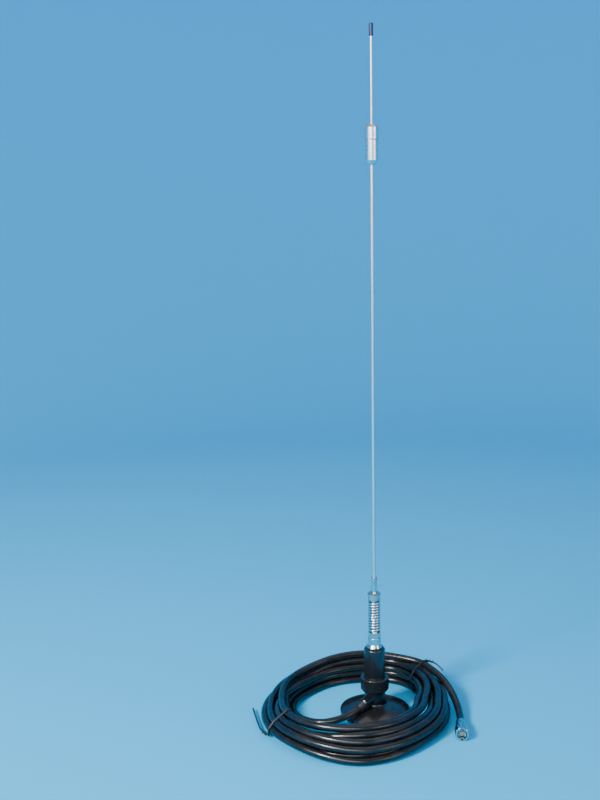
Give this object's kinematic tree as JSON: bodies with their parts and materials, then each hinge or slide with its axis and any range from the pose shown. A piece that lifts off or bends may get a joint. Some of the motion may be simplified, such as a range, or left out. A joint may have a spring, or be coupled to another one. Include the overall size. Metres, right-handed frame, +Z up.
{
  "type": "omnidirectional antenna",
  "caption": "Magnetic-mount whip antenna: round black base with locking ring and coil housing, bending base spring, tunable steel whip, and a tied coil of thick coax ending in a bayonet plug.",
  "frame": {"origin": "middle of the rubber pad's underside, on the whip's axis", "axes": "+Z up along the whip; -Y towards the front, where the lead leaves the base to the front left; the plug lies at +X"},
  "size_m": [0.2236, 0.21, 0.7103],
  "materials": {
    "black_gloss": "glossy moulded black",
    "black_housing": "satin-gloss black moulding",
    "black_ring": "black anodised look, fine satin",
    "pad_rubber": "matt black rubber",
    "magnet": "dark sintered ferrite",
    "zinc_steel": "zinc-plated steel",
    "nickel": "bright nickel plate",
    "spring_chrome": "chromed spring wire",
    "whip_steel": "drawn stainless rod",
    "sleeve_alu": "polished aluminium",
    "brass": "turned brass",
    "copper": "enamelled copper wire",
    "white_plastic": "natural insulating plastic",
    "cap_plastic": "dark navy soft plastic",
    "cable_jacket": "glossy black PVC jacket",
    "tie_black": "black plastic-covered wire",
    "gasket_red": "silicone rubber"
  },
  "bodies": {
    "root": {"base_pad": "pad_rubber", "ring_magnet": "magnet", "pole_plate": "zinc_steel", "base_screws": "zinc_steel", "base_cover": "black_gloss", "mount_bushing": "nickel", "socket_insulator": "white_plastic", "socket_contact": "brass", "feed_core": "white_plastic", "cable_boot": "cable_jacket", "cable_lead": "cable_jacket", "cable_coil": "cable_jacket", "cable_tail": "cable_jacket", "cable_tie_left": "tie_black", "cable_tie_right": "tie_black", "plug_body": "nickel", "plug_insulator": "white_plastic", "plug_pin": "brass", "plug_gasket": "gasket_red", "plug_clamp_nut": "nickel", "plug_ferrule": "nickel"},
    "antenna_base": {"coil_housing": "black_housing", "housing_plug": "white_plastic", "contact_pin": "brass", "coil_former": "white_plastic", "loading_coil": "copper", "stud_insert": "brass", "seal_washer": "nickel", "spring_foot": "nickel"},
    "locking_ring": {"locking_ring": "black_ring"},
    "spring_middle": {"base_spring": "spring_chrome", "spring_braid": "copper"},
    "whip": {"spring_cap": "nickel", "whip_ferrule": "nickel", "grub_screws": "zinc_steel", "lower_mast": "whip_steel", "coupling_sleeve": "sleeve_alu", "collet": "brass"},
    "clamp_nut": {"clamp_nut": "sleeve_alu"},
    "whip_tip": {"upper_whip": "whip_steel", "tip_cap": "cap_plastic"},
    "plug_nut": {"plug_coupling_nut": "nickel"}
  },
  "joints": [
    {"name": "antenna_lift", "type": "slide", "parent": "root", "child": "antenna_base", "axis": [0, 0, 1], "range_m": [0, 0.03]},
    {"name": "locking_ring_turn", "type": "hinge", "parent": "antenna_base", "child": "locking_ring", "pos_m": [0, 0, 0.02594], "axis": [0, 0, 1], "continuous": true},
    {"name": "spring_lean", "type": "hinge", "parent": "antenna_base", "child": "spring_middle", "pos_m": [0, 0, 0.10205], "axis": [0, 1, 0], "range_deg": [-45, 45], "stiffness_Nm_per_rad": 4, "deforming": ["base_spring", "spring_braid"]},
    {"name": "spring_nod", "type": "hinge", "parent": "spring_middle", "child": "whip", "pos_m": [0, 0, 0.11657], "axis": [1, 0, 0], "range_deg": [-45, 45], "stiffness_Nm_per_rad": 4, "deforming": ["base_spring", "spring_braid"]},
    {"name": "clamp_nut_turn", "type": "hinge", "parent": "whip", "child": "clamp_nut", "pos_m": [0, 0, 0.60061], "axis": [0, 0, 1], "continuous": true},
    {"name": "whip_tuning", "type": "slide", "parent": "whip", "child": "whip_tip", "axis": [0, 0, 1], "range_m": [-0.075, 0.04]},
    {"name": "plug_nut_turn", "type": "hinge", "parent": "root", "child": "plug_nut", "pos_m": [0.08431, -0.06423, 0.0073], "axis": [-0.1011, -0.9949, 0], "range_deg": [0, 90]}
  ]
}
